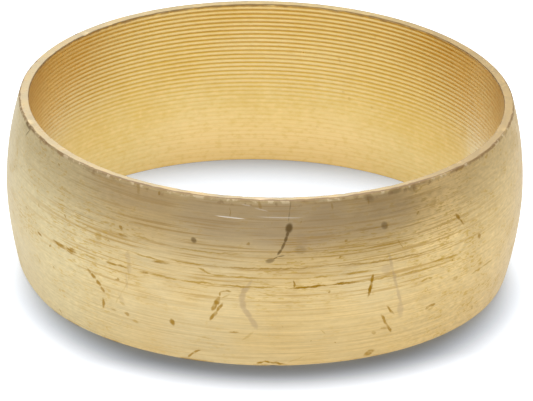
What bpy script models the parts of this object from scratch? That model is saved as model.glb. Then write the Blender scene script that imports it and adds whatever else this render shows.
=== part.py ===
"""Compression ring (olive) for a 28 mm tube.

One turned piece of brass. The barrel-shaped outside is a circular arc between two narrow flat end
faces, and the plain bore slides over the tube. The ring stands on its lower end face, with its axis
on Z and its origin at the centre of that face. Units are metres.
"""

import math

import bpy

# Driving dimensions
TUBE_DIAMETER = 0.028
TUBE_CLEARANCE = 0.0002
RING_LENGTH = 0.0105
END_WALL = 0.00058
CROWN_HEIGHT = 0.00072
OUTER_EDGE_BREAK = 0.00006
BORE_EDGE_BREAK = 0.00004

# Fineness of the facets
CROWN_STEPS = 18
TURN_STEPS = 144
SHARP_ANGLE = math.radians(30)

# Sizes that follow
BORE_RADIUS = (TUBE_DIAMETER + TUBE_CLEARANCE) / 2
END_RADIUS = BORE_RADIUS + END_WALL
MERGE_DISTANCE = BORE_EDGE_BREAK / 4

# Brass, turned and left bright
BRASS_COLOUR = (0.74, 0.56, 0.26, 1.0)
BRASS_ROUGHNESS = 0.34

NAME = "compression_ring"


def clear_scene():
    for old in list(bpy.data.objects):
        bpy.data.objects.remove(old, do_unlink=True)


def new_collection(name):
    collection = bpy.data.collections.new(name)
    bpy.context.scene.collection.children.link(collection)
    return collection


def brass():
    """Bright turned brass."""
    material = bpy.data.materials.new("brass")
    material.use_nodes = True
    shader = material.node_tree.nodes["Principled BSDF"]
    shader.inputs["Base Color"].default_value = BRASS_COLOUR
    shader.inputs["Metallic"].default_value = 1.0
    shader.inputs["Roughness"].default_value = BRASS_ROUGHNESS
    return material


def crown_arc():
    """Points (radius, height) of the crowned seat, from the upper end down to the lower one.

    The arc meets both edge breaks at the end radius and stands CROWN_HEIGHT above them halfway,
    so its own radius follows from its chord and its height.
    """
    half_chord = RING_LENGTH / 2 - OUTER_EDGE_BREAK
    arc_radius = (half_chord**2 + CROWN_HEIGHT**2) / (2 * CROWN_HEIGHT)
    centre_radius = END_RADIUS + CROWN_HEIGHT - arc_radius
    half_angle = math.asin(half_chord / arc_radius)
    points = []
    for step in range(CROWN_STEPS + 1):
        angle = half_angle * (1 - 2 * step / CROWN_STEPS)
        radius = centre_radius + arc_radius * math.cos(angle)
        height = RING_LENGTH / 2 + arc_radius * math.sin(angle)
        points.append((radius, height))
    return points


def lower_end():
    """Points of the lower end face, from its outer edge in to the bore."""
    return [
        (END_RADIUS - OUTER_EDGE_BREAK, 0.0),
        (BORE_RADIUS + BORE_EDGE_BREAK, 0.0),
    ]


def bore():
    """Points of the bore, from the bottom up."""
    return [
        (BORE_RADIUS, BORE_EDGE_BREAK),
        (BORE_RADIUS, RING_LENGTH - BORE_EDGE_BREAK),
    ]


def upper_end():
    """Points of the upper end face, from the bore out to its outer edge."""
    return [(radius, RING_LENGTH) for radius, height in reversed(lower_end())]


def section():
    """The ring's closed section, down the outside and up the bore."""
    return crown_arc() + lower_end() + bore() + upper_end()


def turned(name, outline):
    """A closed outline of (radius, height) points, turned once round Z."""
    vertices = [(radius, 0.0, height) for radius, height in outline]
    edges = [(index, (index + 1) % len(outline)) for index in range(len(outline))]
    profile = bpy.data.meshes.new(name)
    profile.from_pydata(vertices, edges, [])
    piece = bpy.data.objects.new(name, profile)
    screw = piece.modifiers.new("turn", "SCREW")
    screw.axis = "Z"
    screw.angle = math.tau
    screw.steps = TURN_STEPS
    screw.render_steps = TURN_STEPS
    screw.use_merge_vertices = True
    screw.merge_threshold = MERGE_DISTANCE
    return piece


def fix_shape(piece):
    """Makes the turned shape the piece's own mesh, smooth but for its real edges."""
    graph = bpy.context.evaluated_depsgraph_get()
    mesh = bpy.data.meshes.new_from_object(piece.evaluated_get(graph))
    mesh.name = piece.name
    piece.modifiers.clear()
    piece.data = mesh
    mesh.shade_smooth()
    mesh.set_sharp_from_angle(angle=SHARP_ANGLE)


def main():
    clear_scene()
    collection = new_collection(NAME)
    ring = turned(NAME, section())
    collection.objects.link(ring)
    fix_shape(ring)
    ring.data.materials.append(brass())


main()
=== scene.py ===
"""Looks of a turned brass compression ring: its lathe finish, its small marks and a plain pale studio."""

import math

import bmesh
import bpy
from mathutils import Matrix, Quaternion, Vector, noise
from mathutils.bvhtree import BVHTree


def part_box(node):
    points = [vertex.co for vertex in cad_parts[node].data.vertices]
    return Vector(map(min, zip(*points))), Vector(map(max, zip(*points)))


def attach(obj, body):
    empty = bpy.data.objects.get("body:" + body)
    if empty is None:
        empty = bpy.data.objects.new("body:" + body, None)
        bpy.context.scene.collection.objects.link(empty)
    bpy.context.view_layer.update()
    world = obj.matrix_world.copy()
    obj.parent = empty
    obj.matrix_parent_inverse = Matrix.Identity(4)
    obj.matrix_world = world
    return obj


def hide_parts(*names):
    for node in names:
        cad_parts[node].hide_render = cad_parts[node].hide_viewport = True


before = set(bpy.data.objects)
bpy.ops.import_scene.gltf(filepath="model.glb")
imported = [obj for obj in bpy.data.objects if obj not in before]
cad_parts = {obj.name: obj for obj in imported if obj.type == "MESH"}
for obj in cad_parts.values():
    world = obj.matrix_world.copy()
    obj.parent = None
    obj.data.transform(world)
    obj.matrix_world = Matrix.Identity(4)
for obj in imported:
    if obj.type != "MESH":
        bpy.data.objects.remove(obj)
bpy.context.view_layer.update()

MM = 0.001
NODE = "compression_ring"

# The photograph's frame, in pixels
PHOTO_WIDTH = 533
PHOTO_HEIGHT = 401

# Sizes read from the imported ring
cad_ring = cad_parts[NODE].data
ring_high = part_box(NODE)[1]
ring_points = [vertex.co.copy() for vertex in cad_ring.vertices]
ring_faces = [tuple(face.vertices) for face in cad_ring.polygons]
LENGTH = ring_high.z
CROWN_RADIUS = ring_high.x
BORE_RADIUS = min(point.xy.length for point in ring_points)
RIM_DEPTH = 0.1 * MM
END_RADIUS = max(point.xy.length for point in ring_points if point.z > LENGTH - RIM_DEPTH)

# Fineness of the mesh
SECTORS = 16
SECTOR_STEPS = 24
CROWN_STEPS = 68
SEAM_GAP = 0.001 * MM
GROOVE_STEPS = 4
FACE_LOOPS = (0.3, 0.7)
SHARP_ANGLE = math.radians(40)

# Lathe marks in the bore: one scallop for each turn of the work
FEED = 0.27 * MM
GROOVE_DEPTH = 0.018 * MM
WORN_DEPTH = 0.25
WORN_BAND = (0.3, 0.62)

# Broken edges
OUTER_BREAK = 0.06 * MM
BORE_BREAK = 0.04 * MM

# Small departures from the turned shape
BARREL_RIPPLE = 0.0022 * MM
RIPPLES_PER_MM = 2.6
RIPPLE_DRIFT = 0.02
BURR_REACH = 0.07 * MM
BURRS_PER_MM = 2.2
BACK_ANGLES = (math.radians(110), math.radians(165))
RIM_WAVE = 0.012 * MM
RIM_WAVES_PER_MM = 0.9


def smooth_share(low, high, value):
    """0 at low, 1 at high, eased at both ends."""
    share = min(1.0, max(0.0, (value - low) / (high - low)))
    return share * share * (3 - 2 * share)


def angle_of(point):
    """Angle round the axis, 0 at the front and positive to the right."""
    return math.atan2(point.x, -point.y)


def at(radius, height, point):
    """The place at this radius and height, on the same side of the axis as the point."""
    flat = Vector((point.x, point.y)).normalized() * radius
    return Vector((flat.x, flat.y, height))


def placed_mesh(name, bm):
    """A finished mesh as an object of the scene."""
    mesh = bpy.data.meshes.new(name)
    bm.to_mesh(mesh)
    bm.free()
    made = bpy.data.objects.new(name, mesh)
    bpy.context.scene.collection.objects.link(made)
    return made


# Camera

CAMERA_DISTANCE = 361.3 * MM
CAMERA_ELEVATION = math.radians(24.86)
CAMERA_ROLL = math.radians(1.306)
CAMERA_LENS = 408.8
SENSOR = 36.0
AIM_RIGHT = 0.106 * MM
AIM_DOWN = 1.37 * MM


def make_camera():
    """A long lens in front of the ring and above it, as the photograph was taken."""
    data = bpy.data.cameras.new("camera")
    data.lens = CAMERA_LENS
    data.sensor_width = SENSOR
    data.clip_start = 0.01
    data.clip_end = 20.0
    camera = bpy.data.objects.new("camera", data)
    bpy.context.scene.collection.objects.link(camera)
    back = Vector((0, -math.cos(CAMERA_ELEVATION), math.sin(CAMERA_ELEVATION)))
    centre = Vector((0, 0, LENGTH / 2))
    turned = (-back).to_track_quat("-Z", "Y") @ Quaternion((0, 0, 1), CAMERA_ROLL)
    right = turned @ Vector((1, 0, 0))
    up = turned @ Vector((0, 1, 0))
    camera.rotation_mode = "QUATERNION"
    camera.rotation_quaternion = turned
    camera.location = centre + right * AIM_RIGHT - up * AIM_DOWN + back * CAMERA_DISTANCE
    bpy.context.scene.camera = camera
    return camera


camera = make_camera()
ring_tree = BVHTree.FromPolygons(ring_points, ring_faces)


def seen_at(spot):
    """The place on the ring that a pixel of the photograph shows, or None beside it."""
    across = (spot[0] - PHOTO_WIDTH / 2) / PHOTO_WIDTH * SENSOR / CAMERA_LENS
    down = (spot[1] - PHOTO_HEIGHT / 2) / PHOTO_WIDTH * SENSOR / CAMERA_LENS
    ray = camera.rotation_quaternion @ Vector((across, -down, -1))
    return ring_tree.ray_cast(camera.location, ray)[0]


# The ring's walls

def upright_line(bm, outline):
    """Vertices and edges through (radius, height) points, in the plane of +X."""
    vertices = [bm.verts.new((radius, 0.0, height)) for radius, height in outline]
    edges = [bm.edges.new(pair) for pair in zip(vertices, vertices[1:])]
    return vertices + edges


def groove_outline():
    """One upright line of the bore: a scallop for each turn, from below the ring to above it."""
    turns = math.ceil(LENGTH / FEED) + 2
    outline = []
    for step in range(-GROOVE_STEPS * 2, GROOVE_STEPS * turns):
        across = 2 * (step % GROOVE_STEPS) / GROOVE_STEPS - 1
        outline.append((BORE_RADIUS + GROOVE_DEPTH * (1 - across * across), step * FEED / GROOVE_STEPS))
    return outline


def turn(outline, lift=0.0):
    """Turns an upright line once round the axis, rising by the lift. One sector is spun, then repeated."""
    bm = bmesh.new()
    bmesh.ops.spin(
        bm,
        geom=upright_line(bm, outline),
        cent=(0, 0, 0),
        axis=(0, 0, 1),
        dvec=(0, 0, lift / SECTORS / SECTOR_STEPS),
        angle=math.tau / SECTORS,
        steps=SECTOR_STEPS,
        use_merge=False,
    )
    sector = bm.verts[:] + bm.edges[:] + bm.faces[:]
    for number in range(1, SECTORS):
        copy = bmesh.ops.duplicate(bm, geom=sector)["geom"]
        vertices = [item for item in copy if isinstance(item, bmesh.types.BMVert)]
        onward = Matrix.Rotation(math.tau * number / SECTORS, 3, "Z")
        bmesh.ops.rotate(bm, verts=vertices, cent=(0, 0, 0), matrix=onward)
        bmesh.ops.translate(bm, verts=vertices, vec=(0, 0, lift * number / SECTORS))
    bmesh.ops.remove_doubles(bm, verts=bm.verts[:], dist=SEAM_GAP)
    return bm


def cut_level(bm, height, keep_below):
    """Cuts a wall off level at a height."""
    bmesh.ops.bisect_plane(
        bm,
        geom=bm.verts[:] + bm.edges[:] + bm.faces[:],
        dist=SEAM_GAP,
        plane_co=(0, 0, height),
        plane_no=(0, 0, 1),
        clear_outer=keep_below,
        clear_inner=not keep_below,
    )


def worn_share(height):
    """How deep the grooves still are: full in the upper part of the bore, faint in the lower part."""
    low, high = WORN_BAND
    return WORN_DEPTH + (1 - WORN_DEPTH) * smooth_share(low * LENGTH, high * LENGTH, height)


def turn_bore():
    """The bore's wall, with its groove as one true helix."""
    bm = turn(groove_outline(), FEED)
    cut_level(bm, BORE_BREAK, keep_below=False)
    cut_level(bm, LENGTH - BORE_BREAK, keep_below=True)
    for vertex in bm.verts:
        depth = (vertex.co.xy.length - BORE_RADIUS) * worn_share(vertex.co.z)
        vertex.co = at(BORE_RADIUS + depth, vertex.co.z, vertex.co)
    return bm


def crown_outline():
    """The barrel's outline from the upper end to the lower one, with its broken edges."""
    half_chord = LENGTH / 2 - OUTER_BREAK
    height = CROWN_RADIUS - END_RADIUS
    arc_radius = (half_chord**2 + height**2) / (2 * height)
    half_angle = math.asin(half_chord / arc_radius)
    outline = [(END_RADIUS - OUTER_BREAK, LENGTH)]
    for step in range(CROWN_STEPS + 1):
        angle = half_angle * (1 - 2 * step / CROWN_STEPS)
        radius = CROWN_RADIUS - arc_radius * (1 - math.cos(angle))
        outline.append((radius, LENGTH / 2 + arc_radius * math.sin(angle)))
    outline.append((END_RADIUS - OUTER_BREAK, 0.0))
    return outline


def add_wall(bm, wall):
    """Moves a finished wall into the ring."""
    mesh = bpy.data.meshes.new("wall")
    wall.to_mesh(mesh)
    wall.free()
    bm.from_mesh(mesh)
    bpy.data.meshes.remove(mesh)


def rim(bm, height, inside):
    """The open edges at a height, those of the bore or those of the barrel."""
    return [
        edge for edge in bm.edges
        if edge.is_boundary
        and all(abs(vertex.co.z - height) < SEAM_GAP * 2 for vertex in edge.verts)
        and (edge.verts[0].co.xy.length < BORE_RADIUS + OUTER_BREAK) == inside
    ]


def draw_loop(bm, loop, radius, height):
    """Extrudes a rim's edges and takes the new ones to a radius and height. Returns the new edges."""
    made = bmesh.ops.extrude_edge_only(bm, edges=loop)["geom"]
    for vertex in (item for item in made if isinstance(item, bmesh.types.BMVert)):
        vertex.co = at(radius, height, vertex.co)
    return [item for item in made if isinstance(item, bmesh.types.BMEdge) and item.is_boundary]


def close_end(bm, height, bore_height):
    """A flat end face, from the bore's rim out to the barrel's."""
    outer = rim(bm, height, inside=False)
    face = draw_loop(bm, rim(bm, bore_height, inside=True), BORE_RADIUS + BORE_BREAK, height)
    for share in FACE_LOOPS:
        face = draw_loop(bm, face, BORE_RADIUS + (END_RADIUS - BORE_RADIUS) * share, height)
    bmesh.ops.bridge_loops(bm, edges=face + outer)


# Wear in the shape itself

# Nicks and dents, each by the pixel that shows it, its reach and its depth in millimetres
DENTS = (
    ((28, 124.5), 0.42, 0.1),
    ((84.5, 34), 0.3, 0.07),
    ((337, 11.5), 0.28, 0.07),
    ((414.5, 27), 0.22, 0.05),
    ((449.5, 48), 0.26, 0.06),
    ((218.5, 196.8), 0.26, 0.02),
    ((260, 200.8), 0.36, 0.015),
    ((291, 200.5), 0.3, 0.016),
    ((332, 199.5), 0.3, 0.016),
    ((368, 195), 0.3, 0.016),
    ((408.5, 184.5), 0.3, 0.02),
    ((458, 163.5), 0.34, 0.05),
    ((504.5, 131), 0.4, 0.06),
    ((273, 361.5), 0.55, 0.1),
    ((265, 361), 0.35, 0.08),
    ((289.1, 228.3), 0.36, 0.02),
    ((193.6, 240.1), 0.3, 0.016),
    ((384.5, 225.4), 0.36, 0.014),
    ((172.3, 322.1), 0.32, 0.018),
    ((368.5, 350.8), 0.36, 0.022),
    ((430, 306), 0.36, 0.014),
    ((459, 218.5), 0.34, 0.016),
    ((98.2, 236), 0.42, 0.012),
    ((68, 249), 0.42, 0.014),
    ((216, 303), 0.34, 0.016),
)

# How much of a dent's push follows the ring's height
DENT_DROP = 0.25

# Where the ring is pressed a little out of round, in the same way
FLATS = (
    ((20.5, 256), 5.4, 0.21),
    ((509.5, 262), 4.8, 0.08),
)


def placed(marks):
    """Marks given by a pixel, a reach and a depth, as points and sizes in metres."""
    return [(seen_at(spot), reach * MM, depth * MM) for spot, reach, depth in marks if seen_at(spot)]


def flattened(point, flats):
    """The point drawn in towards the axis by the flats it lies in."""
    for centre, reach, depth in flats:
        draw = depth * smooth_share(0.0, 1.0, 1 - (point - centre).length / reach)
        point = at(point.xy.length - draw, point.z, point)
    return point


def dented(point, dents):
    """The point pushed towards the middle of the wall by the dents it lies in."""
    middle = at((BORE_RADIUS + END_RADIUS) / 2, LENGTH / 2, point)
    push = Vector((0, 0, 0))
    for centre, reach, depth in dents:
        share = 1 - (point - centre).length / reach
        if share > 0:
            inward = middle - centre
            inward.z *= DENT_DROP
            push += inward.normalized() * depth * share * share * (3 - 2 * share)
    return point + push


def on_rim(arc, level):
    """A place for noise that closes on itself, from how far round the rim it lies, in millimetres."""
    angle = arc * MM / END_RADIUS
    return Vector((math.cos(angle), math.sin(angle), level)) * END_RADIUS / MM


def roughened(point):
    """The point with the lathe's faint ripple on the barrel, or the burr's wander on the bore's upper rim."""
    radius = point.xy.length
    arc = angle_of(point) * END_RADIUS / MM
    if radius > END_RADIUS - OUTER_BREAK * 0.5:
        ripple = 0.5 + 0.5 * noise.noise(Vector((arc * RIPPLE_DRIFT, 7.0, point.z / MM * RIPPLES_PER_MM)))
        return at(radius - BARREL_RIPPLE * ripple, point.z, point)
    if point.z > LENGTH - BORE_BREAK * 1.5 and radius < BORE_RADIUS + BORE_BREAK * 1.5:
        wander = noise.noise(on_rim(arc, 0) * BURRS_PER_MM)
        at_back = smooth_share(*BACK_ANGLES, abs(angle_of(point)))
        lean = max(0.0, wander) * BURR_REACH * (0.25 + 0.75 * at_back)
        return at(radius - lean, point.z - max(0.0, -wander) * BORE_BREAK, point)
    if point.z > LENGTH - SEAM_GAP and radius > END_RADIUS - OUTER_BREAK * 1.5:
        wander = noise.noise(on_rim(arc, 3) * RIM_WAVES_PER_MM)
        return at(radius - RIM_WAVE * abs(wander), point.z, point)
    return point


# The two walls and the two ends, each as strips of one flat map, so that marks keep their size when baked
MAP_SIDE = 48.6 * MM
MAP_GAP = 0.3 * MM
OUTSIDE, BORE, END = 0, 1, 2


def finish_of(centre):
    """Which finish a face has, from where its centre lies."""
    if centre.z < SEAM_GAP or centre.z > LENGTH - SEAM_GAP:
        return END
    if centre.xy.length < BORE_RADIUS + GROOVE_DEPTH + SEAM_GAP:
        return BORE
    if centre.xy.length < BORE_RADIUS + BORE_BREAK:
        return END
    return OUTSIDE


def map_strip(centre):
    """The strip a face lies in: front or back half of the barrel, the bore, the upper or the lower end."""
    back = 1 if centre.y > 0 else 0
    kind = finish_of(centre)
    if kind != END:
        return kind * 2 + back
    return 4 + (2 if centre.z < LENGTH / 2 else 0) + back


def strip_base(strip):
    """How far up the map a strip starts."""
    wall = LENGTH + MAP_GAP * 2
    land = END_RADIUS - BORE_RADIUS + MAP_GAP * 2
    return MAP_GAP + min(strip, 4) * wall + max(0, strip - 4) * land


def map_ring(bm):
    """Unrolls the ring onto its own flat map."""
    layer = bm.loops.layers.uv.new("OFBake")
    for face in bm.faces:
        centre = face.calc_center_median()
        strip = map_strip(centre)
        middle = math.pi if strip % 2 else 0.0
        for loop in face.loops:
            point = loop.vert.co
            angle = (angle_of(point) - middle + math.pi) % math.tau - math.pi
            up = point.z if strip < 4 else point.xy.length - BORE_RADIUS
            across = MAP_SIDE / 2 + angle * END_RADIUS
            loop[layer].uv = (across / MAP_SIDE, (strip_base(strip) + up) / MAP_SIDE)


def build_ring():
    """The finished ring as one closed mesh."""
    bm = bmesh.new()
    add_wall(bm, turn_bore())
    add_wall(bm, turn(crown_outline()))
    close_end(bm, 0.0, BORE_BREAK)
    close_end(bm, LENGTH, LENGTH - BORE_BREAK)
    bmesh.ops.recalc_face_normals(bm, faces=bm.faces[:])
    for face in bm.faces:
        face.material_index = finish_of(face.calc_center_median())
    map_ring(bm)
    dents = placed(DENTS)
    flats = placed(FLATS)
    for vertex in bm.verts:
        vertex.co = flattened(dented(roughened(vertex.co), dents), flats)
    ring = placed_mesh("turned_ring", bm)
    ring.data.shade_smooth()
    ring.data.set_sharp_from_angle(angle=SHARP_ANGLE)
    return ring


# Node helpers

def node(tree, kind, **settings):
    """A new node in a tree, with its properties set."""
    made = tree.nodes.new("ShaderNode" + kind)
    for name, value in settings.items():
        setattr(made, name, value)
    return made


def feed(tree, socket, value):
    """Links another node's output to a socket, or sets the socket's own value."""
    if isinstance(value, bpy.types.NodeSocket):
        tree.links.new(value, socket)
    else:
        socket.default_value = value


def maths(tree, operation, first, second=None, third=None):
    """One math node on values or other outputs."""
    made = node(tree, "Math", operation=operation)
    for socket, value in zip(made.inputs, (first, second, third)):
        if value is not None:
            feed(tree, socket, value)
    return made.outputs[0]


def product(tree, *factors):
    """All the factors multiplied together."""
    result = factors[0]
    for factor in factors[1:]:
        result = maths(tree, "MULTIPLY", result, factor)
    return result


def scaled(tree, value, factor, base):
    """A value times a factor, plus a base."""
    return maths(tree, "MULTIPLY_ADD", value, factor, base)


def largest(tree, values):
    """The largest of several values."""
    result = values[0]
    for value in values[1:]:
        result = maths(tree, "MAXIMUM", result, value)
    return result


def vectors(tree, operation, first, second=None, scale=None):
    """One vector math node, giving its vector or its value."""
    made = node(tree, "VectorMath", operation=operation)
    feed(tree, made.inputs[0], first)
    if second is not None:
        feed(tree, made.inputs[1], second)
    if scale is not None:
        feed(tree, made.inputs["Scale"], scale)
    return made.outputs["Value" if operation in ("LENGTH", "DOT_PRODUCT", "DISTANCE") else "Vector"]


def axes(tree, vector):
    """A vector's X, Y and Z."""
    parts = node(tree, "SeparateXYZ")
    feed(tree, parts.inputs[0], vector)
    return parts.outputs


def joined(tree, *levels):
    """A vector made of up to three levels."""
    made = node(tree, "CombineXYZ")
    for socket, level in zip(made.inputs, levels):
        feed(tree, socket, level)
    return made.outputs[0]


def ramp(tree, value, low, high, to_low=0.0, to_high=1.0):
    """Eases from one level to another while a value goes from low to high."""
    made = node(tree, "MapRange", interpolation_type="SMOOTHSTEP", clamp=False)
    for socket, level in zip(made.inputs, (value, low, high, to_low, to_high)):
        feed(tree, socket, level)
    return made.outputs[0]


def mixed(tree, factor, first, second, blend="MIX"):
    """Two colours mixed by a factor."""
    made = node(tree, "Mix", data_type="RGBA", blend_type=blend)
    feed(tree, made.inputs[0], factor)
    feed(tree, made.inputs[6], first)
    feed(tree, made.inputs[7], second)
    return made.outputs[2]


def mixed_value(tree, factor, first, second):
    """Two values mixed by a factor."""
    made = node(tree, "Mix", data_type="FLOAT", clamp_factor=False)
    feed(tree, made.inputs[0], factor)
    feed(tree, made.inputs[2], first)
    feed(tree, made.inputs[3], second)
    return made.outputs[0]


def group(name, inputs, outputs):
    """A new node group with its sockets. Returns its tree, its inputs by name and its output node."""
    tree = bpy.data.node_groups.new(name, "ShaderNodeTree")
    for label, (kind, value) in inputs.items():
        socket = tree.interface.new_socket(label, in_out="INPUT", socket_type="NodeSocket" + kind)
        if value is not None:
            socket.default_value = value
    for label, kind in outputs.items():
        tree.interface.new_socket(label, in_out="OUTPUT", socket_type="NodeSocket" + kind)
    entry = tree.nodes.new("NodeGroupInput")
    leave = tree.nodes.new("NodeGroupOutput")
    return tree, entry.outputs, leave.inputs


def use(tree, made_group, **values):
    """Puts a node group in a tree. Returns its outputs."""
    made = tree.nodes.new("ShaderNodeGroup")
    made.node_tree = made_group
    for label, value in values.items():
        feed(tree, made.inputs[label], value)
    return made.outputs


def make_place_group():
    """Where a point lies on the ring, in millimetres: round the wall, up it, and out from the axis."""
    tree, _, leave = group(
        "ring_place",
        {},
        {
            "Place": "Vector", "Solid": "Vector", "Right": "Float", "Back": "Float",
            "Height": "Float", "Radius": "Float",
        },
    )
    solid = vectors(tree, "SCALE", node(tree, "TexCoord").outputs["Object"], scale=1 / MM)
    x, y, z = axes(tree, solid)
    angle = maths(tree, "ARCTAN2", x, product(tree, y, -1.0))
    feed(tree, leave["Place"], joined(tree, product(tree, angle, END_RADIUS / MM), z, 1.0))
    feed(tree, leave["Solid"], solid)
    feed(tree, leave["Right"], x)
    feed(tree, leave["Back"], y)
    feed(tree, leave["Height"], z)
    feed(tree, leave["Radius"], vectors(tree, "LENGTH", joined(tree, x, y)))
    return tree


def make_grain_group():
    """Noise drawn out along the work's turning: Along and Up are its fineness per millimetre."""
    tree, entry, leave = group(
        "turned_grain",
        {"Solid": ("Vector", None), "Along": ("Float", 0.1), "Up": ("Float", 6.0), "Detail": ("Float", 2.0)},
        {"Value": "Float"},
    )
    scale = joined(tree, entry["Along"], entry["Along"], entry["Up"])
    cloud = node(tree, "TexNoise")
    feed(tree, cloud.inputs["Vector"], vectors(tree, "MULTIPLY", entry["Solid"], scale))
    cloud.inputs["Scale"].default_value = 1.0
    feed(tree, cloud.inputs["Detail"], entry["Detail"])
    feed(tree, leave["Value"], cloud.outputs["Fac"])
    return tree


def make_specks_group():
    """Small spots at a fineness per millimetre: the higher the Level, the fewer they are."""
    tree, entry, leave = group(
        "specks",
        {
            "Solid": ("Vector", None), "Fineness": ("Float", 2.0),
            "Level": ("Float", 0.7), "Soft": ("Float", 0.04),
        },
        {"Mask": "Float"},
    )
    cloud = node(tree, "TexNoise")
    feed(tree, cloud.inputs["Vector"], entry["Solid"])
    feed(tree, cloud.inputs["Scale"], entry["Fineness"])
    cloud.inputs["Detail"].default_value = 1.5
    edge = maths(tree, "ADD", entry["Level"], entry["Soft"])
    feed(tree, leave["Mask"], ramp(tree, cloud.outputs["Fac"], entry["Level"], edge))
    return tree


def make_stroke_group():
    """A slim oval stroke over the mask Below. Length and Width give how far a place lies from its middle."""
    tree, entry, leave = group(
        "stroke",
        {
            "Place": ("Vector", None), "Length": ("Vector", None), "Width": ("Vector", None),
            "Strength": ("Float", 1.0), "Below": ("Float", 0.0),
        },
        {"Mask": "Float"},
    )
    along = vectors(tree, "DOT_PRODUCT", entry["Place"], entry["Length"])
    across = vectors(tree, "DOT_PRODUCT", entry["Place"], entry["Width"])
    apart = scaled(tree, across, across, product(tree, along, along))
    mask = ramp(tree, apart, STROKE_CORE, 1.0, entry["Strength"], 0.0)
    feed(tree, leave["Mask"], maths(tree, "MAXIMUM", mask, entry["Below"]))
    return tree


# Small marks on the barrel, each a width in millimetres, a strength, and the pixels that it passes through

BROWN_MARKS = (
    (0.2, 0.85, ((456.3, 214.5), (459.5, 219))),
    (0.11, 0.8, ((459.5, 219), (463.6, 223.8))),
    (0.05, 0.6, ((229.6, 207.7), (230.2, 217.1))),
    (0.14, 0.85, ((37.9, 232.6), (41.3, 236))),
    (0.15, 0.85, ((53.4, 240.3), (65.4, 247.3), (75.8, 252.9))),
    (0.08, 0.65, ((56, 243.2), (66, 249.5), (74, 254.5))),
    (0.1, 0.7, ((69, 247.6), (75.2, 251.2))),
    (0.13, 0.75, ((106.8, 261.9), (118, 265.2), (126.6, 267))),
    (0.2, 0.8, ((87.8, 269.6), (90, 272))),
    (0.22, 0.85, ((91.5, 273.6), (94.6, 277.4))),
    (0.22, 0.85, ((97, 280.5), (99.6, 285))),
    (0.2, 0.8, ((101.5, 287.6), (104.2, 291.8))),
    (0.2, 0.8, ((103.2, 299), (103.8, 307))),
    (0.14, 0.45, ((111, 308.4), (116, 310.6))),
    (0.2, 0.62, ((125.2, 313.2), (128.3, 314.6))),
    (0.16, 0.7, ((120, 226.2), (121.4, 228.8))),
    (0.12, 0.65, ((118.8, 233.5), (127.5, 236.9))),
    (0.14, 0.8, ((153.3, 261.4), (168.8, 262.9))),
    (0.14, 0.75, ((141.2, 271.4), (148, 273.2))),
    (0.28, 0.9, ((171.8, 320.5), (173, 324))),
    (0.1, 0.55, ((59.4, 309.2), (61.5, 313))),
    (0.12, 0.45, ((25.8, 206.8), (27, 209))),
    (0.12, 0.45, ((38.4, 204), (39.4, 207))),
    (0.16, 0.4, ((139.5, 182.7), (138.7, 193))),
    (0.09, 0.62, ((206, 265.3), (328, 266), (435, 249))),
    (0.13, 1, ((289, 288.5), (332, 284.6), (359, 281.6))),
    (0.1, 0.9, ((293.3, 280.8), (295, 287.6))),
    (0.25, 0.9, ((218.6, 298.5), (215.8, 304.5), (212.8, 309))),
    (0.1, 0.7, ((219.5, 296), (221, 292.2), (225, 290.6), (230.4, 291.4))),
    (0.16, 0.85, ((221.9, 303.3), (217.2, 311.5), (210.1, 319.8))),
    (0.1, 0.75, ((229.6, 332.2), (237.8, 332.4))),
    (0.12, 0.8, ((199.5, 349.9), (194, 352.6), (187.7, 356.9))),
    (0.13, 0.9, ((257.3, 363.6), (264.4, 361.4), (270, 362.8), (283.2, 363.8))),
    (0.36, 0.32, ((433.8, 199.5), (432.4, 206))),
    (0.24, 0.65, ((478.6, 235), (479.6, 237))),
    (0.06, 0.5, ((398.2, 239.4), (399.6, 243.5), (402.9, 247.4))),
    (0.17, 1, ((373.2, 274.8), (371.6, 283), (368.2, 295.4))),
    (0.12, 0.8, ((387.3, 306.3), (393.6, 313.8))),
    (0.15, 0.8, ((381.8, 315.4), (386.3, 324.5), (391, 331))),
    (0.14, 0.6, ((380.9, 328.3), (387, 327.2))),
    (0.18, 0.75, ((426.5, 308.6), (430, 305.6), (434.5, 304.4))),
    (0.3, 0.75, ((365.5, 354.5), (372, 350.8))),
    (0.2, 0.5, ((471.5, 306.4), (472.2, 308.2))),
    (0.2, 0.45, ((373, 331.8), (374.3, 333.2))),
    (0.2, 0.45, ((453, 279.5), (457, 277.6))),
    (0.15, 0.5, ((259.3, 202.5), (260.4, 209.5))),
    (0.1, 0.45, ((331.6, 203), (332.6, 209))),
    (0.1, 0.4, ((368, 197.5), (368.6, 203.5))),
)

DARK_MARKS = (
    (0.36, 0.62, ((383.6, 224.2), (385.6, 226.8))),
    (0.26, 0.72, ((192.8, 238.9), (194.6, 241.3))),
    (0.06, 0.4, ((290.9, 201.2), (289.6, 211), (288.5, 221.3))),
    (0.36, 0.92, ((289.7, 225.4), (288.4, 231))),
    (0.16, 0.85, ((288.2, 231.6), (286.8, 236.5), (285, 241.9))),
    (0.14, 0.78, ((285, 241.9), (281.5, 249.6), (277.9, 254.3))),
    (0.06, 0.7, ((284.4, 255.6), (277.9, 256.6), (272.6, 259.6))),
    (0.24, 0.6, ((273, 260.2), (267, 261.4))),
    (0.44, 0.26, ((297.5, 249.6), (303, 250.4))),
    (0.42, 0.36, ((366.5, 195.5), (371.5, 199.5))),
    (0.4, 0.38, ((391.5, 190.8), (399, 189.2))),
    (0.36, 0.3, ((409, 187.6), (416, 189.5))),
    (0.32, 0.8, ((26.4, 121.5), (30.5, 128.5))),
    (0.08, 0.6, ((25.8, 135.3), (31, 128.5), (35, 133))),
)

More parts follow.
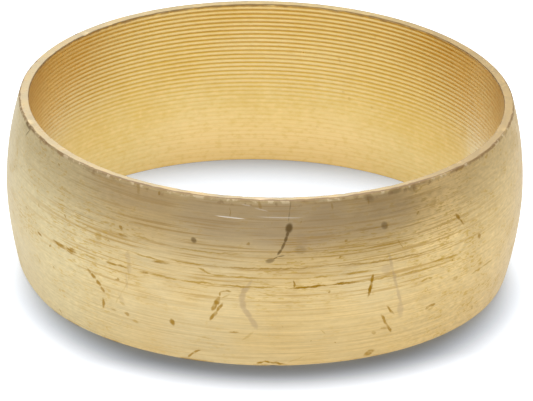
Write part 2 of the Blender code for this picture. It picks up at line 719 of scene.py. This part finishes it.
GOLD_MARKS = (
    (0.42, 0.5, ((97.6, 235), (99, 237.5))),
    (0.06, 0.4, ((82, 224), (86.5, 224.6), (88, 227.5), (83.5, 228))),
    (0.09, 0.6, ((84.4, 254.1), (96.4, 259.3))),
    (0.08, 0.26, ((127.5, 265.3), (128.9, 273), (128.3, 280.8), (120.6, 294.6), (115.4, 303.2))),
    (0.08, 0.55, ((130.9, 234.3), (155, 241.5))),
    (0.1, 0.8, ((132.6, 252.4), (165.3, 261.9))),
    (0.1, 0.8, ((148, 273.2), (180, 280), (213.5, 284.4))),
    (0.09, 0.7, ((170, 259.8), (206, 265.3))),
    (0.09, 0.65, ((170, 246.6), (240.8, 254.9))),
    (0.1, 0.75, ((198.3, 267.9), (210.7, 274.4), (229, 276.1), (258.5, 277.9))),
    (0.1, 0.75, ((196, 281.5), (217.2, 284.6), (282, 287.6))),
    (0.1, 0.75, ((313.9, 277.2), (326.9, 276.4))),
    (0.12, 0.8, ((342.2, 274.4), (372, 270))),
    (0.08, 0.55, ((262, 293.8), (276.2, 295))),
    (0.08, 0.6, ((310, 253.6), (366.4, 248.6), (402.7, 241))),
    (0.1, 0.75, ((359, 281.6), (397.2, 275), (435, 266))),
    (0.13, 0.75, ((432.7, 261.4), (445, 258.6), (457.2, 254.6))),
    (0.11, 0.75, ((471.8, 273.6), (482, 267), (491.8, 259.6))),
    (0.14, 0.55, ((478.5, 264.8), (482.5, 261.6))),
    (0.12, 0.7, ((420.9, 281.4), (428.1, 278), (432, 277.4))),
    (0.09, 0.5, ((441.5, 296.5), (447, 293.8))),
    (0.14, 0.5, ((428, 310.2), (433, 307.4))),
    (0.07, 0.4, ((197, 336.3), (217.2, 340.4))),
    (0.07, 0.35, ((303.3, 356.4), (288, 362.4))),
    (0.06, 0.4, ((320.4, 329.2), (325.7, 333.4))),
    (0.12, 0.35, ((252.6, 332.2), (242.5, 340.4))),
    (0.07, 0.5, ((222.5, 298.6), (229, 294.2))),
    (0.16, 0.5, ((133.5, 320.4), (137.5, 321.8))),
    (0.14, 0.4, ((120, 302), (124.5, 304.6))),
    (0.08, 0.4, ((35.3, 255), (40.5, 262.7))),
)

GREY_MARKS = (
    (0.14, 0.35, ((251.4, 280.3), (247.6, 286.5))),
    (
        0.29, 0.55,
        ((247.6, 286.5), (243.1, 292.6), (241.4, 299.7), (244.3, 309.2), (250.2, 317.4), (256.1, 327.4)),
    ),
    (0.18, 0.45, ((389.1, 253.6), (392.7, 269.9), (397.2, 288.1), (400.9, 303))),
    (0.32, 0.42, ((399.8, 303), (400.9, 315))),
    (0.5, 0.34, ((384, 269.5), (388.5, 268.6))),
    (0.3, 0.3, ((127.4, 252), (128.6, 264), (129.4, 272))),
    (0.13, 0.28, ((126.2, 273.5), (127, 290))),
    (0.24, 0.2, ((119, 292), (122.5, 303))),
    (0.55, 0.25, ((300, 236), (304, 246))),
)

# Wide soft brown-grey patches on the upper front: partly tarnish, partly painted shade that deepens the dark
# band reflected there
TARNISH_AND_SHADE_MARKS = (
    (2.4, 0.34, ((190, 214), (262, 222))),
    (3, 0.45, ((255, 224), (345, 219))),
    (2.4, 0.34, ((340, 222), (405, 208))),
    (1.8, 0.24, ((95, 176), (165, 200))),
)

# Thin scratches drawn near white: real scratches with a painted highlight
SCRATCH_GLINT_MARKS = (
    (0.055, 1, ((216, 215.6), (244.9, 218.8))),
    (0.05, 0.5, ((257.9, 216.7), (303.3, 217.6))),
    (0.06, 0.4, ((242, 204.4), (251.4, 206.2))),
    (0.06, 0.35, ((255, 208), (268, 211.4))),
)


# Colours, as light the metal gives back

PALE_BRASS = (0.695, 0.54, 0.285, 1)
WARM_BRASS = (0.695, 0.508, 0.232, 1)
COOL_BRASS = (0.655, 0.545, 0.31, 1)
LINE_BROWN = (0.47, 0.28, 0.07, 1)
LINE_GOLD = (0.53, 0.335, 0.07, 1)
TARNISH_AND_SHADE = (0.5, 0.39, 0.26, 1)
MARK_BROWN = (0.385, 0.212, 0.018, 1)
MARK_DARK = (0.175, 0.107, 0.035, 1)
MARK_GOLD = (0.46, 0.275, 0.04, 1)
MARK_GREY = (0.47, 0.338, 0.192, 1)
SCRATCH_GLINT = (0.96, 0.9, 0.8, 1)
RIM_BROWN = (0.36, 0.22, 0.1, 1)
RIM_GLINT = (0.97, 0.8, 0.52, 1)
BORE_PALE = (0.735, 0.57, 0.27, 1)
BORE_GOLD = (0.63, 0.388, 0.066, 1)
BORE_BASE = (0.685, 0.472, 0.15, 1)
BORE_DULL = (0.82, 0.68, 0.38, 1)
BORE_GREY = (0.89, 0.82, 0.61, 1)
BORE_LIGHT = (0.82, 0.575, 0.25, 1)
BORE_GRAIN = (0.66, 0.43, 0.115, 1)
END_CREAM = (0.695, 0.57, 0.355, 1)
END_WARM = (0.69, 0.53, 0.25, 1)
END_PINK = (0.57, 0.42, 0.25, 1)
END_RIGHT_SHADE = (0.525, 0.375, 0.181, 1)
END_GLINT = (0.84, 0.68, 0.53, 1)
END_BROWN = (0.3, 0.19, 0.1, 1)

# A stroke's full middle, how far strokes of one mark overlap, and how wide they run
STROKE_CORE = 0.15
STROKE_OVERLAP = 1.2
STROKE_SPREAD = 0.72

# Half way up the ring, in millimetres
MIDDLE = LENGTH / MM / 2

# How far the marks wander from their course, in millimetres
SHAKE = 0.2

# How deep the finish is cut, where the mesh doesn't show it
BARREL_RELIEF = 0.0036 * MM
BORE_RELIEF = 0.0015 * MM
END_RELIEF = 0.006 * MM

# Where in each turn of the groove the golden line of painted reflection lies
GOLD_PHASE = 0.5


def rough_metal(name, roughness):
    """A brass material. Returns it with its tree and its shader."""
    material = bpy.data.materials.new(name)
    material.use_nodes = True
    shader = material.node_tree.nodes["Principled BSDF"]
    shader.inputs["Metallic"].default_value = 1.0
    shader.inputs["Roughness"].default_value = roughness
    return material, material.node_tree, shader


def grain(tree, solid, along, up, detail):
    """Noise drawn out along the turning, from its fineness along and up and its detail."""
    return use(tree, GRAIN, Solid=solid, Along=along, Up=up, Detail=detail)["Value"]


def relief(tree, shader, height, depth):
    """Raises the surface by a height of 0 to 1, times the depth."""
    bump = node(tree, "Bump")
    bump.inputs["Strength"].default_value = 1.0
    bump.inputs["Distance"].default_value = depth
    feed(tree, bump.inputs["Height"], height)
    tree.links.new(bump.outputs[0], shader.inputs["Normal"])


def oval(start, end, width):
    """A stroke's Length and Width. Each turns a place (round, up, 1) into its share of the way to an edge."""
    middle = (start + end) / 2
    along = end - start if start != end else Vector((1, 0))
    half = along.length * STROKE_OVERLAP / 2 + width / 2
    along.normalize()
    across = Vector((-along.y, along.x))
    reach = width * STROKE_SPREAD
    return (
        (along.x / half, along.y / half, -along.dot(middle) / half),
        (across.x / reach, across.y / reach, -across.dot(middle) / reach),
    )


def drawn(tree, place, marks):
    """One mask for a list of marks, from the pixels that they pass through."""
    mask = 0.0
    for width, strength, spots in marks:
        points = [seen_at(spot) for spot in spots]
        places = [Vector((angle_of(point) * END_RADIUS / MM, point.z / MM)) for point in points if point]
        for start, end in zip(places, places[1:]):
            length, wide = oval(start, end, width)
            made = use(tree, STROKE, Place=place, Length=length, Width=wide, Strength=strength, Below=mask)
            mask = made["Mask"]
    return mask


def brass_outside():
    """The barrel: fine turning lines, scored lines, stains, scuffs and worn edges; painted shade over the
    upper front, painted highlights on scratches and rim nicks, and a painted paler patch on the upper right.
    """
    material, tree, shader = rough_metal("brass_outside", 0.36)
    shader.inputs["Specular Tint"].default_value = (0.9, 0.87, 0.81, 1)
    place = use(tree, PLACE)
    solid, height = place["Solid"], place["Height"]
    side = maths(tree, "ABSOLUTE", place["Right"])
    fine = grain(tree, solid, 0.22, 12.0, 2.0)
    lines = grain(tree, solid, 0.06, 4.5, 3.0)
    scored = grain(tree, solid, 0.2, 8.0, 2.0)
    dashes = grain(tree, solid, 2.0, 12.5, 2.0)
    clouds = grain(tree, solid, 0.16, 0.25, 3.0)
    scuffs = grain(tree, solid, 0.6, 0.9, 4.0)
    mottle = grain(tree, solid, 2.6, 6.0, 3.0)

    above_foot = ramp(tree, height, 3.4, 5.0, 0.2, 1.0)
    below_rim = ramp(tree, height, 9.6, 7.6, 0.35, 1.0)
    turned_zone = product(tree, above_foot, below_rim)
    calm = ramp(tree, side, 9.5, 14.4, 1.0, 0.3)
    score_share = scaled(tree, turned_zone, 0.8, 0.12)
    score_mask = product(tree, ramp(tree, scored, 0.53, 0.63), score_share, calm)
    at_sides = product(tree, ramp(tree, side, 5.0, 11.5), ramp(tree, place["Right"], -6.0, 6.0, 0.6, 1.0))
    dash_zone = maths(tree, "MAXIMUM", turned_zone, at_sides)
    dash_mask = product(
        tree, ramp(tree, dashes, 0.585, 0.64), ramp(tree, clouds, 0.44, 0.6), dash_zone, 0.68
    )
    mottle_side = scaled(tree, at_sides, 0.65, 0.3)
    mottle_mask = product(
        tree, ramp(tree, mottle, 0.55, 0.62), ramp(tree, scuffs, 0.47, 0.6), mottle_side, 0.75
    )
    speck_mask = product(tree, use(tree, SPECKS, Solid=solid, Fineness=2.2, Level=0.74)["Mask"], 0.6)

    shaken = node(tree, "TexNoise")
    feed(tree, shaken.inputs["Vector"], solid)
    shaken.inputs["Scale"].default_value = 2.6
    shaken.inputs["Detail"].default_value = 3.0
    offset = vectors(tree, "SUBTRACT", shaken.outputs["Color"], (0.5, 0.5, 0.5))
    drift = vectors(tree, "ADD", place["Place"], vectors(tree, "MULTIPLY", offset, (SHAKE, SHAKE, 0)))
    broken = ramp(tree, grain(tree, solid, 3.0, 3.6, 2.0), 0.28, 0.56, 0.55, 1.0)
    brown = product(tree, drawn(tree, drift, BROWN_MARKS), broken)
    dark = drawn(tree, place["Place"], DARK_MARKS)
    gold = product(tree, drawn(tree, drift, GOLD_MARKS), broken)
    grey = drawn(tree, drift, GREY_MARKS)
    tarnish_and_shade = drawn(tree, drift, TARNISH_AND_SHADE_MARKS)
    scratch_glint = drawn(tree, place["Place"], SCRATCH_GLINT_MARKS)

    colour = mixed(tree, ramp(tree, clouds, 0.34, 0.66), PALE_BRASS, WARM_BRASS)
    colour = mixed(tree, ramp(tree, place["Right"], 3.5, 10.0, 0.0, 0.85), colour, WARM_BRASS)
    colour = mixed(tree, ramp(tree, place["Right"], -5.0, -12.5, 0.0, 0.8), colour, COOL_BRASS)
    fine_tint = scaled(tree, product(tree, maths(tree, "SUBTRACT", fine, 0.5), calm), 0.4, 1.0)
    line_tint = scaled(tree, product(tree, maths(tree, "SUBTRACT", lines, 0.5), calm), 0.15, 1.0)
    mottle_tint = scaled(tree, product(tree, maths(tree, "SUBTRACT", mottle, 0.5), mottle_side), 0.58, 1.0)
    # Painted light: the upper right of the barrel is made paler, against the dark reflection there
    painted_lighter_patch = product(
        tree,
        ramp(tree, place["Right"], 7.2, 10.0),
        ramp(tree, place["Right"], 11.9, 10.6),
        ramp(tree, height, 5.2, 7.2),
    )
    tint = product(tree, fine_tint, line_tint, mottle_tint, scaled(tree, painted_lighter_patch, 0.19, 1.0))
    shade = node(tree, "CombineColor")
    for socket in shade.inputs:
        feed(tree, socket, tint)
    colour = mixed(tree, 1.0, colour, shade.outputs[0], "MULTIPLY")
    # Tarnish with painted shade over the upper front
    colour = mixed(tree, tarnish_and_shade, colour, TARNISH_AND_SHADE)
    colour = mixed(tree, product(tree, score_mask, 0.7), colour, LINE_BROWN)
    colour = mixed(tree, mottle_mask, colour, LINE_GOLD)
    colour = mixed(tree, dash_mask, colour, LINE_GOLD)
    colour = mixed(tree, speck_mask, colour, MARK_BROWN)
    colour = mixed(tree, grey, colour, MARK_GREY)
    colour = mixed(tree, gold, colour, MARK_GOLD)
    colour = mixed(tree, brown, colour, MARK_BROWN)
    colour = mixed(tree, dark, colour, MARK_DARK)
    # Scratches with their painted highlight
    colour = mixed(tree, scratch_glint, colour, SCRATCH_GLINT)

    from_middle = maths(tree, "ABSOLUTE", maths(tree, "SUBTRACT", height, MIDDLE))
    edge = ramp(tree, from_middle, MIDDLE - 0.16, MIDDLE - 0.03)
    lower_half = ramp(tree, height, MIDDLE + 1, MIDDLE - 1)
    edge_wear = product(tree, edge, lower_half, ramp(tree, scuffs, 0.5, 0.62), 0.35)
    colour = mixed(tree, edge_wear, colour, END_CREAM)
    edge_stain = product(tree, edge, lower_half, ramp(tree, scuffs, 0.5, 0.38), 0.65)
    colour = mixed(tree, edge_stain, colour, MARK_BROWN)
    uneven = grain(tree, solid, 1.5, 1.5, 4.0)
    from_top = scaled(tree, height, -1.0, LENGTH / MM)
    reach = scaled(tree, uneven, 0.24, ramp(tree, side, 6.0, 12.0, -0.1, -0.03))
    rim_line = ramp(tree, maths(tree, "SUBTRACT", from_top, reach), -0.02, 0.08, 1.0, 0.0)
    rim_line = product(
        tree, rim_line, ramp(tree, side, 5.0, 12.5, 0.55, 0.78), ramp(tree, scuffs, 0.4, 0.52, 0.45, 1.0)
    )
    colour = mixed(tree, rim_line, colour, RIM_BROWN)
    nibble = grain(tree, solid, 2.3, 2.0, 4.0)
    chips = product(tree, ramp(tree, nibble, 0.44, 0.36), ramp(tree, from_top, 0.42, 0.16), 0.5)
    colour = mixed(tree, chips, colour, RIM_BROWN)
    # Painted glints: small bright flecks on the nicks just below the rim
    glint_flecks = product(tree, ramp(tree, nibble, 0.55, 0.63), ramp(tree, from_top, 0.22, 0.05), 0.55)
    colour = mixed(tree, glint_flecks, colour, RIM_GLINT)
    feed(tree, shader.inputs["Base Color"], colour)

    dirt = largest(tree, [brown, dark, product(tree, gold, 0.6), speck_mask, edge_stain, rim_line])
    level = scaled(tree, lines, 0.14, 0.29)
    level = scaled(tree, ramp(tree, scuffs, 0.5, 0.66), 0.08, level)
    level = scaled(tree, dirt, 0.18, level)
    level = scaled(tree, grey, 0.12, level)
    feed(tree, shader.inputs["Roughness"], level)

    rise = scaled(tree, fine, 0.34, product(tree, lines, 0.2))
    rise = scaled(tree, score_mask, -0.35, rise)
    rise = scaled(tree, mottle_mask, -0.25, rise)
    rise = scaled(tree, brown, -1.3, rise)
    rise = scaled(tree, scratch_glint, 2.4, rise)
    relief(tree, shader, rise, BARREL_RELIEF)
    return material


def brass_bore():
    """The bore: painted reflections as golden and pale lines along the helical groove, paler low down and
    duller at the sides; faint spots and smooth wear below.
    """
    material, tree, shader = rough_metal("brass_bore", 0.3)
    place = use(tree, PLACE)
    solid, height = place["Solid"], place["Height"]
    side = maths(tree, "ABSOLUTE", place["Right"])
    turns = product(tree, axes(tree, place["Place"])[0], MM / END_RADIUS / math.tau)
    phase = maths(tree, "SUBTRACT", product(tree, height, MM / FEED), turns)
    wander = grain(tree, solid, 0.25, 2.0, 2.0)
    phase = scaled(tree, wander, 0.25, phase)
    share = maths(tree, "FRACT", maths(tree, "ADD", phase, GOLD_PHASE))
    off_line = maths(tree, "ABSOLUTE", maths(tree, "SUBTRACT", share, 0.5))
    low, high = WORN_BAND
    fresh = ramp(tree, height, low * LENGTH / MM, high * LENGTH / MM, WORN_DEPTH, 1.0)
    patchy = ramp(tree, grain(tree, solid, 0.35, 1.2, 3.0), 0.3, 0.55, 0.45, 1.0)
    clear = ramp(tree, side, 10.6, 13.4, 1.0, 0.12)
    # Painted reflections on the groove: a golden line and a pale line in each turn, fading towards the sides
    # and the worn lower part
    gold_reflection_line = product(tree, ramp(tree, off_line, 0.06, 0.24, 1.0, 0.0), fresh, patchy, clear)
    pale_reflection_line = product(tree, ramp(tree, off_line, 0.3, 0.46), fresh, clear)

    fine = grain(tree, solid, 0.12, 9.0, 2.0)
    clouds = grain(tree, solid, 0.16, 0.25, 3.0)
    smears = grain(tree, solid, 1.1, 0.35, 3.0)
    spots = product(tree, use(tree, SPECKS, Solid=solid, Fineness=1.7, Level=0.75)["Mask"], 0.22)
    uneven = grain(tree, solid, 2.0, 2.0, 4.0)
    from_top = scaled(tree, height, -1.0, LENGTH / MM)
    lip = ramp(tree, scaled(tree, uneven, -0.4, from_top), -0.16, 0.02, 1.0, 0.0)

    colour = mixed(tree, ramp(tree, clouds, 0.35, 0.65, 0.0, 0.5), BORE_BASE, BORE_PALE)
    # Painted reflection: the bore turns duller towards its left and right sides, and greyer at the far right
    painted_dull_sides = product(tree, ramp(tree, side, 9.2, 13.6, 0.0, 0.9), ramp(tree, height, 3.2, 7.5, 0.1, 1.0))
    colour = mixed(tree, painted_dull_sides, colour, BORE_DULL)
    colour = mixed(tree, ramp(tree, place["Right"], 11.8, 13.3, 0.0, 0.8), colour, BORE_GREY)
    # Painted reflection of the lit floor: paler towards the bottom, and lighter still low on the back and
    # front of the bore
    colour = mixed(tree, ramp(tree, height, 4.2, 1.0, 0.0, 0.5), colour, BORE_PALE)
    lit_floor = product(tree, ramp(tree, height, 4.6, 1.4), ramp(tree, side, 9.0, 4.0), 0.8)
    colour = mixed(tree, lit_floor, colour, BORE_LIGHT)
    freckles = grain(tree, solid, 2.6, 4.5, 3.0)
    colour = mixed(tree, ramp(tree, freckles, 0.5, 0.68, 0.0, 0.4), colour, BORE_GRAIN)
    colour = mixed(tree, ramp(tree, freckles, 0.5, 0.34, 0.0, 0.4), colour, BORE_LIGHT)
    # The groove's painted reflection lines
    colour = mixed(tree, product(tree, gold_reflection_line, 0.9), colour, BORE_GOLD)
    colour = mixed(tree, product(tree, pale_reflection_line, 0.7), colour, BORE_PALE)
    colour = mixed(tree, ramp(tree, fine, 0.35, 0.75, 0.0, 0.14), colour, BORE_GOLD)
    colour = mixed(tree, spots, colour, LINE_BROWN)
    # Darker just inside the bore's upper edge, less so at the far right
    dark_lip = product(tree, lip, ramp(tree, place["Right"], 8.0, 13.0, 0.72, 0.42))
    colour = mixed(tree, dark_lip, colour, RIM_BROWN)
    feed(tree, shader.inputs["Base Color"], colour)

    level = scaled(tree, smears, 0.14, 0.24)
    level = scaled(tree, spots, 0.2, level)
    level = scaled(tree, lip, 0.15, level)
    feed(tree, shader.inputs["Roughness"], level)
    relief(tree, shader, fine, BORE_RELIEF)
    return material


def brass_end():
    """The end faces: pale cut metal with pinkish specks, facing rings and a stained outer edge; painted
    reflection tones, warmer to the right and back and darker to the right, and a painted glint at the front.
    """
    material, tree, shader = rough_metal("brass_end", 0.4)
    place = use(tree, PLACE)
    solid, radius = place["Solid"], place["Radius"]
    across, back, _ = axes(tree, solid)
    faced = joined(tree, across, back, radius)
    rings = grain(tree, faced, 0.15, 9.0, 2.0)
    clouds = grain(tree, solid, 0.9, 0.9, 3.0)
    specks = use(tree, SPECKS, Solid=solid, Fineness=4.5, Level=0.58, Soft=0.08)["Mask"]
    uneven = grain(tree, solid, 1.3, 1.3, 4.0)
    side = maths(tree, "ABSOLUTE", place["Right"])
    wider_in_front = maths(tree, "ADD", radius, ramp(tree, place["Back"], -8.0, -12.5, 0.05, 0.2))
    reach = scaled(tree, uneven, 0.3, wider_in_front)
    stain = ramp(tree, reach, END_RADIUS / MM + 0.08, END_RADIUS / MM + 0.16)
    off_bore = scaled(tree, uneven, -0.1, radius)
    inner = ramp(tree, off_bore, BORE_RADIUS / MM - 0.04, BORE_RADIUS / MM + 0.02, 1.0, 0.0)
    # Painted reflection on the land: warmer towards the right and back, darker towards the right
    turned_away = scaled(tree, place["Right"], 0.6, product(tree, place["Back"], 0.8))
    warm_reflection = ramp(tree, turned_away, -0.1 * END_RADIUS / MM, 0.9 * END_RADIUS / MM, 0.0, 0.85)
    glint = product(
        tree,
        ramp(tree, side, 0.3, 0.75, 0.5, 0.0),
        ramp(tree, place["Back"], -10.0, -12.0),
        ramp(tree, radius, BORE_RADIUS / MM + 0.1, BORE_RADIUS / MM + 0.25),
    )

    colour = mixed(tree, product(tree, specks, 0.7), END_CREAM, END_PINK)
    colour = mixed(tree, ramp(tree, clouds, 0.42, 0.7, 0.0, 0.35), colour, WARM_BRASS)
    colour = mixed(tree, warm_reflection, colour, END_WARM)
    colour = mixed(tree, ramp(tree, place["Right"], 4.0, 12.0, 0.0, 0.8), colour, END_RIGHT_SHADE)
    colour = mixed(tree, ramp(tree, rings, 0.45, 0.7, 0.0, 0.2), colour, END_PINK)
    colour = mixed(tree, glint, colour, END_GLINT)
    colour = mixed(tree, product(tree, inner, 0.7), colour, END_BROWN)
    colour = mixed(tree, product(tree, stain, 0.9), colour, END_BROWN)
    feed(tree, shader.inputs["Base Color"], colour)
    level = scaled(tree, clouds, 0.2, 0.33)
    level = scaled(tree, specks, 0.12, level)
    feed(tree, shader.inputs["Roughness"], level)
    rise = scaled(tree, rings, 0.4, product(tree, specks, -0.6))
    relief(tree, shader, rise, END_RELIEF)
    return material


# Floor, surroundings and light

# The lamp
KEY_PLACE = (0.0, 60 * MM, 200 * MM)
KEY_SIZE = (160 * MM, 120 * MM)
KEY_POWER = 0.33

# The dark card: its form, where it fades, and its darkest part
CARD_RADIUS = 40 * MM
CARD_HEIGHTS = (1 * MM, 24 * MM)
CARD_HALF_ANGLE = math.radians(125)
CARD_STEPS = 40
CARD_FADE = (math.radians(40), math.radians(118))
CARD_TOP_FADE = (14 * MM, 24 * MM)
CARD_COLOUR = (0.55, 0.5, 0.46, 1)
CARD_DARK = 0.78
CARD_DARK_AT = math.radians(50)
CARD_DARK_REACH = (math.radians(8), math.radians(45))

# The floor: its own tone and a painted contact shadow close round the ring, its shadow outside and inside the
# ring, and how the ring mirrors it
FLOOR_SIZE = 3.0
FLOOR_CONTACT_SHADOW = (0.56, 0.64, 0.76, 1)
FLOOR_COLOUR = (0.675, 0.735, 0.815, 1)
CONTACT_SHADOW_REACH = (15.6 * MM, 17.4 * MM)
SHADOW_LEAN = (-0.026, 0.263, 0)
SHADOW_DRIFT = 4.95 * MM
SHADOW_LEAST = 1.4 * MM
SHADOW_OUTSIDE = (16.2 * MM, 21.55 * MM)
SHADOW_INSIDE = (10.0 * MM, 16.5 * MM)
INSIDE_SHAPE = (0.7, 1, 1)
INSIDE_LIFT = 0.6
# Painted light in the ring's reflections: the floor's glow for mirrored rays, brighter beside and inside the
# ring, dimmer behind it and to its right
FLOOR_MIRRORED = 0.62
FLOOR_TURN = (-0.5, 0.6)
FLOOR_BEHIND = 0.78
FLOOR_SIDE = (0.4, 0.95)
FLOOR_RIGHT = 0.9
FLOOR_NEAR = (15.0 * MM, 19.0 * MM)
FLOOR_BESIDE = 1.32
FLOOR_INSIDE = 1.07
FLOOR_GLOW = (1, 0.99, 0.95, 1)

# The room
WHITE = (1, 1, 1, 1)
ROOM_LIGHT = (0.28, 0.29, 0.32, 1)
MIRRORED_ROOM = (0.74, 0.75, 0.76, 1)


def matt_glow(piece):
    """A matt, glowing material for a piece of the studio, named after it. Returns its tree and its shader."""
    material = bpy.data.materials.new(piece.name)
    material.use_nodes = True
    material.cycles.emission_sampling = "NONE"
    shader = material.node_tree.nodes["Principled BSDF"]
    shader.inputs["Specular IOR Level"].default_value = 0.0
    piece.data.materials.append(material)
    return material.node_tree, shader


def make_floor():
    """A pale floor. Straight rays see it lifted to white away from the ring's shadow; mirrored rays see it
    glow, as painted light on the ring.
    """
    bm = bmesh.new()
    bmesh.ops.create_grid(bm, x_segments=1, y_segments=1, size=FLOOR_SIZE)
    floor = placed_mesh("floor", bm)
    tree, shader = matt_glow(floor)
    shader.inputs["Roughness"].default_value = 1.0
    spot = node(tree, "TexCoord").outputs["Object"]
    radius = vectors(tree, "LENGTH", spot)
    right, back, _ = axes(tree, spot)
    # Painted contact shadow: the floor's own colour is darker and bluer close round the ring
    shadowed_tone = mixed(tree, ramp(tree, radius, *CONTACT_SHADOW_REACH), FLOOR_CONTACT_SHADOW, FLOOR_COLOUR)
    feed(tree, shader.inputs["Base Color"], shadowed_tone)
    beyond = ramp(tree, radius, BORE_RADIUS, END_RADIUS)
    narrowed = maths(tree, "ADD", vectors(tree, "DOT_PRODUCT", spot, SHADOW_LEAN), SHADOW_DRIFT)
    off_shadow = maths(tree, "ADD", radius, maths(tree, "MAXIMUM", narrowed, SHADOW_LEAST))
    outside = product(tree, ramp(tree, off_shadow, *SHADOW_OUTSIDE), beyond)
    off_middle = vectors(tree, "LENGTH", vectors(tree, "MULTIPLY", spot, INSIDE_SHAPE))
    lift = ramp(tree, off_middle, *SHADOW_INSIDE, INSIDE_LIFT, 0.0)
    inside = product(tree, lift, ramp(tree, radius, END_RADIUS, BORE_RADIUS))
    path = node(tree, "LightPath")
    straight = product(tree, path.outputs["Is Camera Ray"], maths(tree, "MAXIMUM", outside, inside))
    mirrored = maths(tree, "MAXIMUM", path.outputs["Is Glossy Ray"], path.outputs["Is Transmission Ray"])
    # Painted light for the ring's reflections: how strongly mirrored rays see the floor glow, by place
    forward = maths(tree, "DIVIDE", product(tree, back, -1.0), maths(tree, "ADD", radius, MM))
    share = ramp(tree, forward, *FLOOR_TURN, FLOOR_BEHIND, 1.0)
    to_right = maths(tree, "DIVIDE", right, maths(tree, "ADD", radius, MM))
    share = product(tree, share, ramp(tree, to_right, *FLOOR_SIDE, 1.0, FLOOR_RIGHT))
    share = product(tree, share, ramp(tree, radius, *FLOOR_NEAR, FLOOR_BESIDE, 1.0))
    share = mixed_value(tree, beyond, FLOOR_INSIDE, share)
    share = product(tree, share, FLOOR_MIRRORED)
    feed(tree, shader.inputs["Emission Color"], mixed(tree, mirrored, WHITE, FLOOR_GLOW))
    strength = scaled(tree, mirrored, share, straight)
    tree.links.new(strength, shader.inputs["Emission Strength"])


def make_world():
    """White for the rays that see it straight or mirrored, and a softer room light for the rest."""
    world = bpy.data.worlds.new("studio")
    bpy.context.scene.world = world
    world.use_nodes = True
    world.cycles.sampling_method = "NONE"
    tree = world.node_tree
    path = node(tree, "LightPath")
    mirrored = maths(tree, "MAXIMUM", path.outputs["Is Glossy Ray"], path.outputs["Is Transmission Ray"])
    colour = mixed(tree, mirrored, ROOM_LIGHT, MIRRORED_ROOM)
    colour = mixed(tree, path.outputs["Is Camera Ray"], colour, WHITE)
    tree.links.new(colour, tree.nodes["Background"].inputs["Color"])


def soft_box(name, place, size, power):
    """A soft oblong lamp that faces the ring's foot."""
    data = bpy.data.lights.new(name, "AREA")
    data.shape = "RECTANGLE"
    data.size, data.size_y = size
    data.energy = power
    lamp = bpy.data.objects.new(name, data)
    bpy.context.scene.collection.objects.link(lamp)
    lamp.location = place
    lamp.rotation_mode = "QUATERNION"
    lamp.rotation_quaternion = (-Vector(place)).to_track_quat("-Z", "Y")


def make_card():
    """A low dark card bent round the ring's front. Only reflections show it, and it fades at its ends."""
    bm = bmesh.new()
    bottom = bm.verts.new((0, -CARD_RADIUS, CARD_HEIGHTS[0]))
    top = bm.verts.new((0, -CARD_RADIUS, CARD_HEIGHTS[1]))
    edge = bm.edges.new((bottom, top))
    start = Matrix.Rotation(-CARD_HALF_ANGLE, 3, "Z")
    bmesh.ops.rotate(bm, verts=bm.verts[:], cent=(0, 0, 0), matrix=start)
    bmesh.ops.spin(
        bm,
        geom=[bottom, top, edge],
        cent=(0, 0, 0),
        axis=(0, 0, 1),
        angle=CARD_HALF_ANGLE * 2,
        steps=CARD_STEPS,
    )
    card = placed_mesh("card", bm)
    tree, shader = matt_glow(card)
    shader.inputs["Base Color"].default_value = (0, 0, 0, 1)
    x, y, z = axes(tree, node(tree, "TexCoord").outputs["Object"])
    turned = maths(tree, "ARCTAN2", x, product(tree, y, -1.0))
    angle = maths(tree, "ABSOLUTE", turned)
    fade = largest(tree, [ramp(tree, angle, *CARD_FADE), ramp(tree, z, *CARD_TOP_FADE)])
    feed(tree, shader.inputs["Emission Color"], mixed(tree, fade, CARD_COLOUR, MIRRORED_ROOM))
    off_dark = maths(tree, "ABSOLUTE", maths(tree, "SUBTRACT", turned, CARD_DARK_AT))
    feed(tree, shader.inputs["Emission Strength"], ramp(tree, off_dark, *CARD_DARK_REACH, CARD_DARK, 1.0))
    card.visible_camera = False
    card.visible_diffuse = False
    card.visible_shadow = False
    card.visible_transmission = False


PLACE = make_place_group()
GRAIN = make_grain_group()
SPECKS = make_specks_group()
STROKE = make_stroke_group()

ring = build_ring()
for finish in (brass_outside(), brass_bore(), brass_end()):
    ring.data.materials.append(finish)
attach(ring, "root")
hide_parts(NODE)

make_floor()
make_world()
make_card()
soft_box("key_box", KEY_PLACE, KEY_SIZE, KEY_POWER)

bpy.context.scene.view_settings.view_transform = "Standard"
